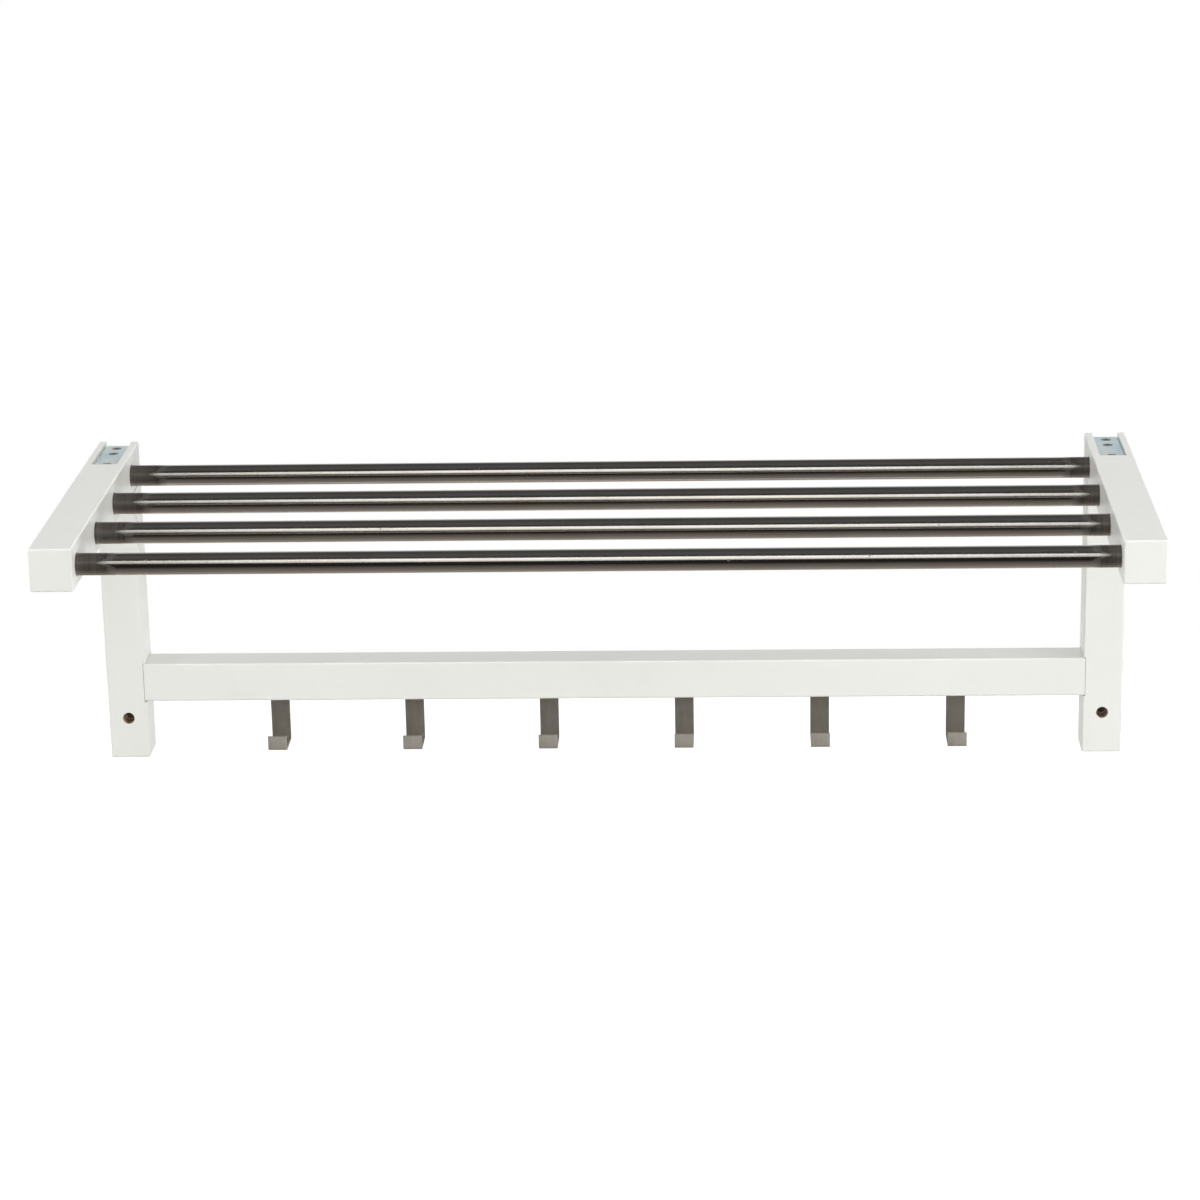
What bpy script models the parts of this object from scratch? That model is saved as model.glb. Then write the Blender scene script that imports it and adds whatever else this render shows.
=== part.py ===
"""Wall hook rack: a hat shelf of four steel tubes between two painted timber arms, which
stand on two posts, with a rail of six steel hooks between the posts.

Metres, +Z up. The wall is the plane Y = 0 and the rack reaches out from it along -Y.
The origin is on the wall, midway between the posts, level with the top of the arms.
"""
import math

import bmesh
import bpy
from mathutils import Matrix, Vector

# Overall size
OVERALL_WIDTH = 0.800
OVERALL_DEPTH = 0.300
OVERALL_HEIGHT = 0.252

# Fits
GAP = 0.0003                # between two pieces that touch
HOLE_END_ROOM = 0.0005      # past the blind end of a dowel, screw or tube
CUT_OVER = 0.001            # how far a cutter stands out of the face it cuts
EASED_EDGE = 0.0014         # rounded edges of the painted timber
EASED_STEPS = 2

# Timber
ARM_WIDTH = 0.031
ARM_HEIGHT = 0.032
POST_WIDTH = 0.031
POST_DEPTH = 0.031
RAIL_HEIGHT = 0.031
RAIL_ABOVE_POST_FOOT = 0.047    # underside of the rail to the foot of the post
HOUSING_DEPTH = 0.002           # how far the rail's ends are let into the posts

# Tubes of the shelf
TUBE_COUNT = 4
TUBE_DIAMETER = 0.016
TUBE_WALL = 0.001
TUBE_BELOW_ARM_TOP = 0.017      # arm top to tube axis
TUBE_FRONT_SETBACK = 0.019      # arm front to the axis of the first tube
TUBE_PITCH = 0.080
SOCKET_DEPTH = 0.010
PLUG_LENGTH = 0.020

# Hooks
HOOK_COUNT = 6
HOOK_PITCH = 0.1077
HOOK_ROW_SHIFT = 0.0022         # the row sits a little right of the middle
HOOK_WIDTH = 0.015
HOOK_THICKNESS = 0.002
HOOK_PROJECTION = 0.030         # back of the strap to the front of the lip
HOOK_DROP = 0.0425              # underside of the rail to the underside of the hook
HOOK_LAP = 0.026                # strap behind the rail
HOOK_LIP_HEIGHT = 0.012
HOOK_OFF_WALL = 0.0007
HOOK_BEND_INSIDE = 0.001
HOOK_SCREW_HEIGHTS = (0.008, 0.020)     # above the underside of the rail

# Corner brackets, let into the back of the arms and the posts
BRACKET_WIDTH = 0.0188
BRACKET_SIDE_ROOM = 0.0006      # between a bracket and the cheek of its recess
BRACKET_THICKNESS = 0.002
BRACKET_TOP_LEG = 0.069
BRACKET_REAR_LEG = 0.073
BRACKET_BELOW_ARM_TOP = 0.003
BRACKET_OFF_WALL = 0.0002
BRACKET_BEND_INSIDE = 0.001
BRACKET_CORNER_RELIEF = BRACKET_BEND_INSIDE / 2     # timber cleared inside the bend
BRACKET_TOP_SCREWS = (0.0115, 0.0273, 0.0585)     # from the wall
BRACKET_REAR_SCREW = 0.070                      # below the arm top
KEYHOLE_ENTRY_DIAMETER = 0.010
KEYHOLE_ENTRY_BELOW_TOP = 0.057
KEYHOLE_SLOT_WIDTH = 0.005
KEYHOLE_RISE = 0.012            # entry centre to the seat of the wall screw
KEYHOLE_POCKET_DEPTH = 0.008
KEYHOLE_POCKET_MARGIN = 0.0015  # timber cleared round the keyhole

# Wall-screw holes near the foot of the posts
WALL_HOLE_ABOVE_FOOT = 0.033
WALL_HOLE_DIAMETER = 0.006
WALL_COUNTERBORE_DIAMETER = 0.009
WALL_COUNTERBORE_DEPTH = 0.009

# Dowels
DOWEL_DIAMETER = 0.008
ARM_DOWEL_UP = 0.012
ARM_DOWEL_DOWN = 0.018
ARM_DOWEL_SPREAD = 0.015        # between the two dowels of a joint
ARM_DOWEL_FROM_WALL = 0.020
RAIL_DOWEL_IN_POST = 0.015
RAIL_DOWEL_IN_RAIL = 0.022
DOWEL_CHAMFER = 0.0008

# Countersunk screws: head diameter, shank diameter, length
TUBE_SCREW = (0.008, 0.004, 0.036)
BRACKET_SCREW = (0.007, 0.0035, 0.014)
HOOK_SCREW = (0.006, 0.003, 0.013)
HEAD_RIM = 0.0002
SCREW_TIP = 0.003
SCREW_BELOW_FACE = 0.0001
RECESS_SHARE = 0.62             # cross recess, as a share of the head
RECESS_SLOT = 0.0010
RECESS_DEPTH = 0.0012

# Round-piece resolution
TUBE_SEGMENTS = 32
WALL_HOLE_SEGMENTS = 24
HOLE_SEGMENTS = 16
SCREW_SEGMENTS = 12
BEND_STEPS = 4

# Places worked out from the sizes above
HALF_WIDTH = OVERALL_WIDTH / 2
ARM_INNER = HALF_WIDTH - ARM_WIDTH
POST_INNER = HALF_WIDTH - POST_WIDTH
POST_TOP = -ARM_HEIGHT - GAP
POST_FOOT = -OVERALL_HEIGHT
POST_CENTRE_X = HALF_WIDTH - POST_WIDTH / 2
ARM_CENTRE_X = HALF_WIDTH - ARM_WIDTH / 2
RAIL_BOTTOM = POST_FOOT + RAIL_ABOVE_POST_FOOT
RAIL_TOP = RAIL_BOTTOM + RAIL_HEIGHT
RAIL_FRONT = -POST_DEPTH
RAIL_BACK = -HOOK_OFF_WALL - HOOK_THICKNESS - GAP
RAIL_END = POST_INNER + HOUSING_DEPTH - GAP
RAIL_MIDDLE = Vector((0, (RAIL_FRONT + RAIL_BACK) / 2, (RAIL_TOP + RAIL_BOTTOM) / 2))
TUBE_Z = -TUBE_BELOW_ARM_TOP
TUBE_YS = [-OVERALL_DEPTH + TUBE_FRONT_SETBACK + i * TUBE_PITCH for i in range(TUBE_COUNT)]
SOCKET_END = ARM_INNER + SOCKET_DEPTH
TUBE_END = SOCKET_END - GAP
HOOK_XS = [HOOK_ROW_SHIFT + (i - (HOOK_COUNT - 1) / 2) * HOOK_PITCH for i in range(HOOK_COUNT)]
HOOK_BACK = -HOOK_OFF_WALL
HOOK_FRONT = HOOK_BACK - HOOK_PROJECTION
HOOK_BOTTOM = RAIL_BOTTOM - HOOK_DROP
HOOK_TOP = RAIL_BOTTOM + HOOK_LAP
BRACKET_TOP = -BRACKET_BELOW_ARM_TOP
BRACKET_BACK = -BRACKET_OFF_WALL
BRACKET_FRONT = BRACKET_BACK - BRACKET_TOP_LEG
BRACKET_FOOT = BRACKET_TOP - BRACKET_REAR_LEG
KEYHOLE_Z = -KEYHOLE_ENTRY_BELOW_TOP
SIDES = (("left", -1), ("right", 1))

POINTING = {
    "+Z": Matrix.Identity(4),
    "+Y": Matrix.Rotation(math.radians(-90), 4, "X"),
    "-Y": Matrix.Rotation(math.radians(90), 4, "X"),
    "+X": Matrix.Rotation(math.radians(90), 4, "Y"),
    "-X": Matrix.Rotation(math.radians(-90), 4, "Y"),
}


def clear_scene():
    for obj in list(bpy.data.objects):
        bpy.data.objects.remove(obj, do_unlink=True)


def new_collection(name):
    collection = bpy.data.collections.new(name)
    bpy.context.scene.collection.children.link(collection)
    return collection


clear_scene()
PARTS = new_collection("wall_hook_rack")
CUTTERS = new_collection("cutters")


# Materials

def finish(name, colour, roughness, metallic):
    material = bpy.data.materials.new(name)
    material.use_nodes = True
    material.diffuse_color = (*colour, 1)
    shader = material.node_tree.nodes["Principled BSDF"]
    shader.inputs["Base Color"].default_value = (*colour, 1)
    shader.inputs["Roughness"].default_value = roughness
    shader.inputs["Metallic"].default_value = metallic
    return material


WHITE_PAINT = finish("white_paint", (0.78, 0.78, 0.74), 0.42, 0.0)
POLISHED_STEEL = finish("polished_steel", (0.55, 0.53, 0.50), 0.16, 1.0)
BRUSHED_STEEL = finish("brushed_steel", (0.42, 0.40, 0.37), 0.34, 1.0)
ZINC_PLATE = finish("zinc_plate", (0.60, 0.70, 0.72), 0.30, 1.0)
SCREW_STEEL = finish("screw_steel", (0.50, 0.50, 0.49), 0.35, 1.0)
BEECH = finish("beech", (0.55, 0.36, 0.20), 0.70, 0.0)
NYLON = finish("nylon", (0.05, 0.05, 0.05), 0.55, 0.0)


# Making solids

def add_object(name, mesh, collection=PARTS, place=Matrix.Identity(4), material=None):
    obj = bpy.data.objects.new(name, mesh)
    collection.objects.link(obj)
    obj.matrix_world = place
    if material:
        mesh.materials.clear()
        mesh.materials.append(material)
    if collection is CUTTERS:
        obj.hide_render = True
        obj.display_type = "WIRE"
    return obj


def mesh_from(name, bm):
    mesh = bpy.data.meshes.new(name)
    bm.to_mesh(mesh)
    bm.free()
    return mesh


def runs_along(edge, axis):
    direction = (edge.verts[1].co - edge.verts[0].co).normalized()
    return abs(direction[axis]) > math.cos(math.radians(1))


def block(name, low, high, collection=PARTS, material=None, eased=None):
    """A box between two corners; eased(edge) picks the edges that are rounded."""
    low, high = Vector(low), Vector(high)
    bm = bmesh.new()
    bmesh.ops.create_cube(bm, size=1)
    bmesh.ops.scale(bm, vec=high - low, verts=bm.verts)
    if eased:
        edges = [edge for edge in bm.edges if eased(edge)]
        bmesh.ops.bevel(bm, geom=edges, offset=EASED_EDGE, segments=EASED_STEPS,
                        profile=0.5, affect="EDGES", material=-1)
    place = Matrix.Translation((low + high) / 2)
    return add_object(name, mesh_from(name, bm), collection, place, material)


def rod_mesh(name, radius, length, segments, chamfer=0, far_radius=None):
    """A round bar that starts at the origin and runs down -Z."""
    bm = bmesh.new()
    bmesh.ops.create_cone(bm, cap_ends=True, segments=segments, radius1=radius,
                          radius2=radius if far_radius is None else far_radius, depth=length)
    if chamfer:
        rims = [edge for edge in bm.edges if not runs_along(edge, 2)]
        bmesh.ops.bevel(bm, geom=rims, offset=chamfer, segments=1, profile=0.5,
                        affect="EDGES", material=-1)
    bmesh.ops.translate(bm, vec=(0, 0, -length / 2), verts=bm.verts)
    mesh = mesh_from(name, bm)
    smooth(mesh)
    return mesh


def smooth(mesh):
    mesh.shade_smooth()
    mesh.set_sharp_from_angle(angle=math.radians(35))


def facing(direction, point):
    """Turns +Z towards a direction and moves the origin to a point."""
    return Matrix.Translation(point) @ POINTING[direction]


def drill(name, direction, mouth, radius, depth, segments=HOLE_SEGMENTS):
    """A cutter for a round hole. direction points out of its mouth."""
    mesh = rod_mesh(name, radius, depth + CUT_OVER, segments)
    place = facing(direction, mouth) @ Matrix.Translation((0, 0, CUT_OVER))
    return add_object(name, mesh, CUTTERS, place)


def countersink(name, direction, mouth, size):
    """A cutter for the seat of a countersunk head, widened a little past the face."""
    hole_radius = size[1] / 2 + GAP
    mouth_radius = size[0] / 2 + HEAD_RIM + GAP
    depth = mouth_radius - hole_radius
    mesh = rod_mesh(name, hole_radius, depth + CUT_OVER, HOLE_SEGMENTS,
                    far_radius=mouth_radius + CUT_OVER)
    place = facing(direction, mouth) @ Matrix.Translation((0, 0, CUT_OVER))
    return add_object(name, mesh, CUTTERS, place)


def outline_solid(name, outline, thickness, collection, place):
    """A flat outline in local XY, thickened evenly to both sides of it."""
    curve = bpy.data.curves.new(name, "CURVE")
    curve.dimensions = "2D"
    curve.fill_mode = "BOTH"
    curve.extrude = thickness / 2
    spline = curve.splines.new("POLY")
    spline.points.add(len(outline) - 1)
    for point, (x, y) in zip(spline.points, outline):
        point.co = (x, y, 0, 1)
    spline.use_cyclic_u = True
    obj = add_object(name + "_outline", curve, CUTTERS, place)
    solid = add_object(name, evaluated_mesh(obj, name), collection, place)
    bpy.data.objects.remove(obj, do_unlink=True)
    return solid


def evaluated_mesh(obj, name):
    """The object's shape with its modifiers, as a mesh of its own with welded seams."""
    graph = bpy.context.evaluated_depsgraph_get()
    mesh = bpy.data.meshes.new_from_object(obj.evaluated_get(graph))
    mesh.name = name
    bm = bmesh.new()
    bm.from_mesh(mesh)
    bmesh.ops.remove_doubles(bm, verts=bm.verts, dist=0.000001)
    bm.to_mesh(mesh)
    bm.free()
    return mesh


def cut(obj, cutters):
    for cutter in cutters:
        boolean = obj.modifiers.new(cutter.name, "BOOLEAN")
        boolean.operation = "DIFFERENCE"
        boolean.solver = "EXACT"
        boolean.object = cutter


def bent_path(corners, radius):
    """The corners joined by straight runs, with each inner corner turned on an arc."""
    points = [Vector(corners[0])]
    for before, corner, after in zip(corners, corners[1:], corners[2:]):
        corner = Vector(corner)
        back = (Vector(before) - corner).normalized()
        onward = (Vector(after) - corner).normalized()
        half = back.angle(onward) / 2
        centre = corner + (back + onward).normalized() * (radius / math.sin(half))
        start = (corner + back * (radius / math.tan(half)) - centre).normalized()
        end = (corner + onward * (radius / math.tan(half)) - centre).normalized()
        points += [centre + radius * start.slerp(end, i / BEND_STEPS)
                   for i in range(BEND_STEPS + 1)]
    points.append(Vector(corners[-1]))
    return points


def bent_strip(name, corners, width, thickness, bend_inside, place, material):
    """A strip of sheet metal, bent along corners in local YZ and centred on local X."""
    bm = bmesh.new()
    path = bent_path([(0, y, z) for y, z in corners], bend_inside + thickness / 2)
    verts = [bm.verts.new(point + Vector((-width / 2, 0, 0))) for point in path]
    edges = [bm.edges.new(pair) for pair in zip(verts, verts[1:])]
    sheet = bmesh.ops.extrude_edge_only(bm, edges=edges)["geom"]
    moved = [item for item in sheet if isinstance(item, bmesh.types.BMVert)]
    bmesh.ops.translate(bm, vec=(width, 0, 0), verts=moved)
    bmesh.ops.recalc_face_normals(bm, faces=bm.faces)
    strip = add_object(name, mesh_from(name, bm), PARTS, place, material)
    sheet_metal = strip.modifiers.new("thickness", "SOLIDIFY")
    sheet_metal.thickness = thickness
    sheet_metal.offset = 0
    sheet_metal.use_even_offset = True
    return strip


def cross_outline(reach, slot):
    """The cross of a screw's recess, as the twelve corners of a plus sign."""
    quarter = [(reach, -slot), (reach, slot), (slot, slot)]
    turns = [Matrix.Rotation(math.radians(90 * i), 2) for i in range(4)]
    return [turn @ Vector(corner) for turn in turns for corner in quarter]


def screw_mesh(name, size, material):
    """A countersunk cross-recess screw whose head is level with the origin."""
    head, shank, length = (size[0] / 2, size[1] / 2, size[2])
    profile = [(0, 0), (head, 0), (head, -HEAD_RIM), (shank, -HEAD_RIM - head + shank),
               (shank, -length + SCREW_TIP), (0, -length)]
    bm = bmesh.new()
    verts = [bm.verts.new((x, 0, z)) for x, z in profile]
    for pair in zip(verts, verts[1:]):
        bm.edges.new(pair)
    turned = add_object(name + "_turned", mesh_from(name, bm), CUTTERS)
    spin = turned.modifiers.new("turn", "SCREW")
    spin.steps = SCREW_SEGMENTS
    spin.render_steps = SCREW_SEGMENTS
    spin.use_merge_vertices = True
    spin.merge_threshold = 0.00001
    reach = head * RECESS_SHARE
    cross = outline_solid(name + "_recess", cross_outline(reach, RECESS_SLOT / 2),
                          RECESS_DEPTH * 2, CUTTERS, Matrix.Identity(4))
    cut(turned, [cross])
    mesh = evaluated_mesh(turned, name)
    mesh.materials.clear()
    mesh.materials.append(material)
    smooth(mesh)
    bpy.data.objects.remove(turned, do_unlink=True)
    return mesh


def keyhole_outline(margin=0):
    """Entry circle with a narrower slot above it, in local XY about the entry's centre."""
    entry = KEYHOLE_ENTRY_DIAMETER / 2 + margin
    slot = KEYHOLE_SLOT_WIDTH / 2 + margin
    meet = math.asin(slot / entry)
    around = [math.pi / 2 + meet + i * (2 * math.pi - 2 * meet) / HOLE_SEGMENTS
              for i in range(HOLE_SEGMENTS + 1)]
    over = [i * math.pi / (HOLE_SEGMENTS / 2) for i in range(HOLE_SEGMENTS // 2 + 1)]
    bulb = [(entry * math.cos(a), entry * math.sin(a)) for a in around]
    return bulb + [(slot * math.cos(a), KEYHOLE_RISE + slot * math.sin(a)) for a in over]


# Pieces

def bracket_housing(side):
    """The L-shaped recess in the back of an arm and its post that takes the bracket."""
    deep = -BRACKET_OFF_WALL - BRACKET_THICKNESS - GAP
    low = BRACKET_TOP - BRACKET_THICKNESS - GAP
    front = BRACKET_FRONT - GAP
    foot = BRACKET_FOOT - GAP
    corner_outline = [(front, CUT_OVER), (CUT_OVER, CUT_OVER), (CUT_OVER, foot),
                      (deep, foot), (deep, low - BRACKET_CORNER_RELIEF),
                      (deep - BRACKET_CORNER_RELIEF, low), (front, low)]
    upright = Matrix(((0, 0, 1, 0), (1, 0, 0, 0), (0, 1, 0, 0), (0, 0, 0, 1)))
    place = Matrix.Translation((side * ARM_CENTRE_X, 0, 0)) @ upright
    return outline_solid("bracket_housing", corner_outline, BRACKET_WIDTH + 2 * BRACKET_SIDE_ROOM,
                         CUTTERS, place)


def pilot(name, direction, point, size):
    """A hole for a screw whose head centre is at a point."""
    return drill(name, direction, point, size[1] / 2 + GAP, size[2] + HOLE_END_ROOM)


def bracket_top_screw_places(side):
    x = side * ARM_CENTRE_X
    return [Vector((x, -y, BRACKET_TOP - SCREW_BELOW_FACE)) for y in BRACKET_TOP_SCREWS]


def bracket_rear_screw_place(side):
    x = side * ARM_CENTRE_X
    return Vector((x, BRACKET_BACK - SCREW_BELOW_FACE, -BRACKET_REAR_SCREW))


def hook_screw_places(x):
    y = HOOK_BACK - SCREW_BELOW_FACE
    return [Vector((x, y, RAIL_BOTTOM + height)) for height in HOOK_SCREW_HEIGHTS]


def tube_screw_place(side, y):
    return Vector((side * (HALF_WIDTH - SCREW_BELOW_FACE), y, TUBE_Z))


def arm_dowel_places(side):
    x = side * POST_CENTRE_X
    top = -ARM_HEIGHT + ARM_DOWEL_UP
    return [Vector((x + shift, -ARM_DOWEL_FROM_WALL, top))
            for shift in (-ARM_DOWEL_SPREAD / 2, ARM_DOWEL_SPREAD / 2)]


def outward(side):
    return "+X" if side > 0 else "-X"


def inward(side):
    return outward(-side)


def across(side, near, far):
    """Two X values of one side, lowest first."""
    return sorted((side * near, side * far))


def make_arm(name, side, housing):
    x_low, x_high = across(side, ARM_INNER, HALF_WIDTH)
    arm = block(f"arm_{name}", (x_low, -OVERALL_DEPTH, -ARM_HEIGHT), (x_high, 0, 0),
                material=WHITE_PAINT, eased=lambda edge: True)
    cutters = [housing]
    for y in TUBE_YS:
        mouth = Vector((side * ARM_INNER, y, TUBE_Z))
        head = tube_screw_place(side, y)
        cutters += [
            drill("tube_socket", inward(side), mouth, TUBE_DIAMETER / 2 + GAP, SOCKET_DEPTH),
            pilot("tube_screw_hole", outward(side), head, TUBE_SCREW),
            countersink("tube_screw_seat", outward(side), head, TUBE_SCREW),
        ]
    for head in bracket_top_screw_places(side):
        cutters.append(pilot("bracket_screw_hole", "+Z", head, BRACKET_SCREW))
    cutters += arm_dowel_holes(side)
    cut(arm, cutters)
    return arm


def arm_dowel_holes(side):
    """One straight hole for each dowel, which runs up into the arm and down into the post."""
    length = ARM_DOWEL_UP + ARM_DOWEL_DOWN
    holes = []
    for top in arm_dowel_places(side):
        mesh = rod_mesh("arm_dowel_hole", DOWEL_DIAMETER / 2 + GAP,
                        length + 2 * HOLE_END_ROOM, HOLE_SEGMENTS)
        place = Matrix.Translation(top + Vector((0, 0, HOLE_END_ROOM)))
        holes.append(add_object("arm_dowel_hole", mesh, CUTTERS, place))
    return holes


def make_post(name, side, housing):
    x_low, x_high = across(side, POST_INNER, HALF_WIDTH)
    height = POST_TOP - POST_FOOT

    def not_at_top(edge):
        middle = (edge.verts[0].co.z + edge.verts[1].co.z) / 2
        return middle < height / 4

    post = block(f"post_{name}", (x_low, -POST_DEPTH, POST_FOOT), (x_high, 0, POST_TOP),
                 material=WHITE_PAINT, eased=not_at_top)
    hole_z = POST_FOOT + WALL_HOLE_ABOVE_FOOT
    front = Vector((side * POST_CENTRE_X, -POST_DEPTH, hole_z))
    housing_x = across(side, POST_INNER - CUT_OVER, POST_INNER + HOUSING_DEPTH)
    rail_housing = block(f"rail_housing_{name}",
                         (housing_x[0], RAIL_FRONT - CUT_OVER, RAIL_BOTTOM - GAP),
                         (housing_x[1], RAIL_BACK + GAP, RAIL_TOP + GAP), CUTTERS)
    keyhole_face = -BRACKET_OFF_WALL - BRACKET_THICKNESS - KEYHOLE_POCKET_DEPTH / 2
    pocket = outline_solid("keyhole_pocket", keyhole_outline(KEYHOLE_POCKET_MARGIN),
                           KEYHOLE_POCKET_DEPTH, CUTTERS,
                           facing("-Y", (side * ARM_CENTRE_X, keyhole_face, KEYHOLE_Z)))
    dowel_mouth = Vector((side * (POST_INNER + HOUSING_DEPTH), RAIL_MIDDLE.y, RAIL_MIDDLE.z))
    cut(post, [
        housing,
        pocket,
        rail_housing,
        drill("rail_dowel_hole", inward(side), dowel_mouth, DOWEL_DIAMETER / 2 + GAP,
              RAIL_DOWEL_IN_POST + HOLE_END_ROOM),
        drill("wall_hole", "-Y", front, WALL_HOLE_DIAMETER / 2, POST_DEPTH + CUT_OVER,
              WALL_HOLE_SEGMENTS),
        drill("wall_counterbore", "-Y", front, WALL_COUNTERBORE_DIAMETER / 2,
              WALL_COUNTERBORE_DEPTH, WALL_HOLE_SEGMENTS),
        pilot("bracket_screw_hole", "+Y", bracket_rear_screw_place(side), BRACKET_SCREW),
        *arm_dowel_holes(side),
    ])
    return post


def make_rail():
    rail = block("hook_rail", (-RAIL_END, RAIL_FRONT, RAIL_BOTTOM),
                 (RAIL_END, RAIL_BACK, RAIL_TOP), material=WHITE_PAINT,
                 eased=lambda edge: runs_along(edge, 0))
    cutters = []
    for _, side in SIDES:
        mouth = Vector((side * RAIL_END, RAIL_MIDDLE.y, RAIL_MIDDLE.z))
        cutters.append(drill("rail_dowel_hole", outward(side), mouth,
                             DOWEL_DIAMETER / 2 + GAP, RAIL_DOWEL_IN_RAIL + HOLE_END_ROOM))
    for x in HOOK_XS:
        for head in hook_screw_places(x):
            cutters.append(pilot("hook_screw_hole", "+Y", head, HOOK_SCREW))
    cut(rail, cutters)
    return rail


def make_tube(number, y):
    outer = rod_mesh("tube", TUBE_DIAMETER / 2, 2 * TUBE_END, TUBE_SEGMENTS)
    place = facing("+X", (TUBE_END, y, TUBE_Z))
    tube = add_object(f"tube_{number}", outer, PARTS, place, POLISHED_STEEL)
    bore = rod_mesh("tube_bore", TUBE_DIAMETER / 2 - TUBE_WALL, 2 * (TUBE_END + CUT_OVER),
                    TUBE_SEGMENTS)
    bore_place = facing("+X", (TUBE_END + CUT_OVER, y, TUBE_Z))
    cut(tube, [add_object("tube_bore", bore, CUTTERS, bore_place)])
    return tube


def make_plug(name, side, y):
    radius = TUBE_DIAMETER / 2 - TUBE_WALL - GAP
    mesh = rod_mesh("tube_plug", radius, PLUG_LENGTH, HOLE_SEGMENTS)
    end = Vector((side * TUBE_END, y, TUBE_Z))
    plug = add_object(name, mesh, PARTS, facing(outward(side), end), NYLON)
    hole = drill("plug_hole", outward(side), end, TUBE_SCREW[1] / 2 + GAP,
                 PLUG_LENGTH + CUT_OVER)
    cut(plug, [hole])
    return plug


def make_hook(number, x):
    half = HOOK_THICKNESS / 2
    corners = [(HOOK_BACK - half, HOOK_TOP), (HOOK_BACK - half, HOOK_BOTTOM + half),
               (HOOK_FRONT + half, HOOK_BOTTOM + half),
               (HOOK_FRONT + half, HOOK_BOTTOM + HOOK_LIP_HEIGHT)]
    hook = bent_strip(f"hook_{number}", corners, HOOK_WIDTH, HOOK_THICKNESS,
                      HOOK_BEND_INSIDE, Matrix.Translation((x, 0, 0)), BRUSHED_STEEL)
    cutters = []
    for head in hook_screw_places(x):
        cutters += screw_hole_in_sheet("hook", "+Y", head, HOOK_SCREW, HOOK_THICKNESS)
    cut(hook, cutters)
    return hook


def screw_hole_in_sheet(name, direction, head, size, thickness):
    """Cutters for a countersunk hole right through a sheet."""
    return [drill(f"{name}_hole", direction, head, size[1] / 2 + GAP, thickness + CUT_OVER),
            countersink(f"{name}_seat", direction, head, size)]


def make_bracket(name, side):
    half = BRACKET_THICKNESS / 2
    corners = [(BRACKET_FRONT, BRACKET_TOP - half), (BRACKET_BACK - half, BRACKET_TOP - half),
               (BRACKET_BACK - half, BRACKET_FOOT)]
    place = Matrix.Translation((side * ARM_CENTRE_X, 0, 0))
    bracket = bent_strip(f"corner_bracket_{name}", corners, BRACKET_WIDTH, BRACKET_THICKNESS,
                         BRACKET_BEND_INSIDE, place, ZINC_PLATE)
    cutters = []
    for head in bracket_top_screw_places(side):
        cutters += screw_hole_in_sheet("bracket", "+Z", head, BRACKET_SCREW,
                                       BRACKET_THICKNESS)
    cutters += screw_hole_in_sheet("bracket", "+Y", bracket_rear_screw_place(side),
                                   BRACKET_SCREW, BRACKET_THICKNESS)
    keyhole_place = facing("-Y", (side * ARM_CENTRE_X, BRACKET_BACK - half, KEYHOLE_Z))
    cutters.append(outline_solid("keyhole", keyhole_outline(),
                                 BRACKET_THICKNESS + 2 * CUT_OVER, CUTTERS, keyhole_place))
    cut(bracket, cutters)
    return bracket


def make_dowels():
    """Beech dowels: two between each arm and its post, one at each end of the rail."""
    arm_length = ARM_DOWEL_UP + ARM_DOWEL_DOWN
    arm_mesh = rod_mesh("arm_dowel", DOWEL_DIAMETER / 2, arm_length, HOLE_SEGMENTS,
                        DOWEL_CHAMFER)
    rail_length = RAIL_DOWEL_IN_POST + RAIL_DOWEL_IN_RAIL
    rail_mesh = rod_mesh("rail_dowel", DOWEL_DIAMETER / 2, rail_length, HOLE_SEGMENTS,
                         DOWEL_CHAMFER)
    dowels = []
    for name, side in SIDES:
        for number, top in enumerate(arm_dowel_places(side), 1):
            dowels.append(add_object(f"arm_dowel_{name}_{number}", arm_mesh, PARTS,
                                     Matrix.Translation(top), BEECH))
        end = Vector((side * (POST_INNER + HOUSING_DEPTH + RAIL_DOWEL_IN_POST),
                      RAIL_MIDDLE.y, RAIL_MIDDLE.z))
        dowels.append(add_object(f"rail_dowel_{name}", rail_mesh, PARTS,
                                 facing(outward(side), end), BEECH))
    return dowels


def make_screws():
    tube_mesh = screw_mesh("tube_screw", TUBE_SCREW, SCREW_STEEL)
    bracket_mesh = screw_mesh("bracket_screw", BRACKET_SCREW, SCREW_STEEL)
    hook_mesh = screw_mesh("hook_screw", HOOK_SCREW, SCREW_STEEL)
    screws = []
    for name, side in SIDES:
        for number, y in enumerate(TUBE_YS, 1):
            place = facing(outward(side), tube_screw_place(side, y))
            screws.append(add_object(f"tube_screw_{name}_{number}", tube_mesh, place=place))
        for number, head in enumerate(bracket_top_screw_places(side), 1):
            place = Matrix.Translation(head)
            screws.append(add_object(f"bracket_screw_{name}_{number}", bracket_mesh,
                                     place=place))
        place = facing("+Y", bracket_rear_screw_place(side))
        screws.append(add_object(f"bracket_screw_{name}_rear", bracket_mesh, place=place))
    for number, x in enumerate(HOOK_XS, 1):
        for level, head in zip(("lower", "upper"), hook_screw_places(x)):
            screws.append(add_object(f"hook_screw_{number}_{level}", hook_mesh,
                                     place=facing("+Y", head)))
    return screws


def main():
    pieces = [make_rail()]
    for name, side in SIDES:
        housing = bracket_housing(side)
        pieces += [make_arm(name, side, housing), make_post(name, side, housing),
                   make_bracket(name, side)]
    for number, y in enumerate(TUBE_YS, 1):
        pieces.append(make_tube(number, y))
        pieces += [make_plug(f"tube_plug_{name}_{number}", side, y) for name, side in SIDES]
    pieces += [make_hook(number, x) for number, x in enumerate(HOOK_XS, 1)]
    pieces += make_dowels()
    pieces += make_screws()
    rack = bpy.data.objects.new("rack_on_wall", None)
    PARTS.objects.link(rack)
    for piece in pieces:
        piece.parent = rack


main()
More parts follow.
